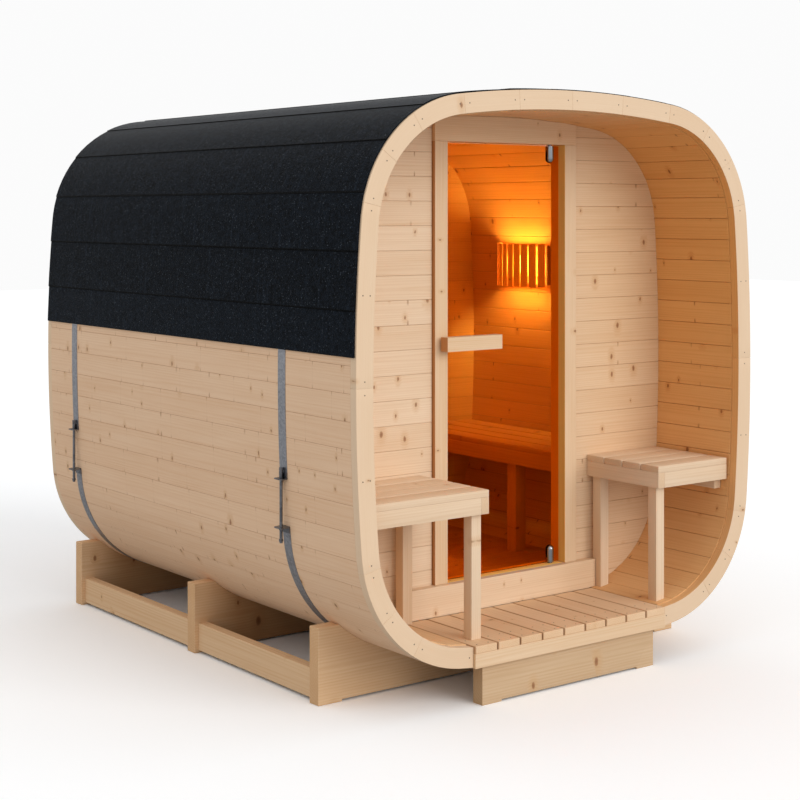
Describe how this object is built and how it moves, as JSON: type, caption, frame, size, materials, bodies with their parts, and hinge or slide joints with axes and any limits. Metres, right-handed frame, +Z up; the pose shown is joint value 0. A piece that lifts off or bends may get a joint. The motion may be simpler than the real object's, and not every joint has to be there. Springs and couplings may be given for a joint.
{
  "type": "garden sauna",
  "caption": "Rounded-square timber garden sauna on a cradle, with an open porch, seats, a pivoting glass door, strip roofing and steel hoops.",
  "frame": {"origin": "on the ground under the middle of the whole sauna", "axes": "+Z up, the porch and door face -Y, +X to the right of someone looking into the porch"},
  "size_m": [2.123, 2.522, 2.3325],
  "materials": {
    "spruce": "planed, untreated",
    "cradle_timber": "planed, oiled",
    "seat_timber": "planed, untreated",
    "roofing_felt": "mineral-surfaced bitumen",
    "galvanised_steel": "galvanised",
    "chrome": "polished",
    "tinted_glass": "clear with a bronze tint",
    "lamp_glass": "frosted, lit"
  },
  "bodies": {
    "sauna": {"cradle_board_front": "cradle_timber", "cradle_board_middle": "cradle_timber", "cradle_board_rear": "cradle_timber", "cradle_rails": "cradle_timber", "cradle_cleats": "cradle_timber", "porch_support": "cradle_timber", "shell_floor": "spruce", "shell_lower_left": "spruce", "shell_left": "spruce", "shell_upper_left": "spruce", "shell_top": "spruce", "shell_upper_right": "spruce", "shell_right": "spruce", "shell_lower_right": "spruce", "front_ring_lower_left": "spruce", "front_ring_upper_left": "spruce", "front_ring_upper_right": "spruce", "front_ring_lower_right": "spruce", "rear_ring_lower_left": "spruce", "rear_ring_upper_left": "spruce", "rear_ring_upper_right": "spruce", "rear_ring_lower_right": "spruce", "porch_beam": "spruce", "floor_bearers": "cradle_timber", "deck_slats": "spruce", "room_floor": "spruce", "rear_deck": "spruce", "front_wall_left": "spruce", "front_wall_right": "spruce", "door_header": "spruce", "door_sill": "spruce", "door_jambs": "spruce", "rear_wall": "spruce", "pivot_sockets": "chrome", "seat_left_top": "seat_timber", "seat_left_frame": "seat_timber", "seat_right_top": "seat_timber", "seat_right_frame": "seat_timber", "bench_top": "seat_timber", "bench_frame": "seat_timber", "lamp_back": "spruce", "lamp_shade": "spruce", "lamp_bulb": "lamp_glass", "hoop_front": "galvanised_steel", "hoop_rear": "galvanised_steel", "tensioners_left": "galvanised_steel", "tensioners_right": "galvanised_steel", "roofing_left": "roofing_felt", "roofing_top": "roofing_felt", "roofing_right": "roofing_felt"},
    "door": {"door_glass": "tinted_glass", "door_clamps": "chrome", "door_handle": "spruce"}
  },
  "joints": [
    {"name": "door_hinge", "type": "hinge", "parent": "sauna", "child": "door", "pos_m": [0.321, -0.763, 0.36], "axis": [0, 0, 1], "range_deg": [0, 95]}
  ]
}
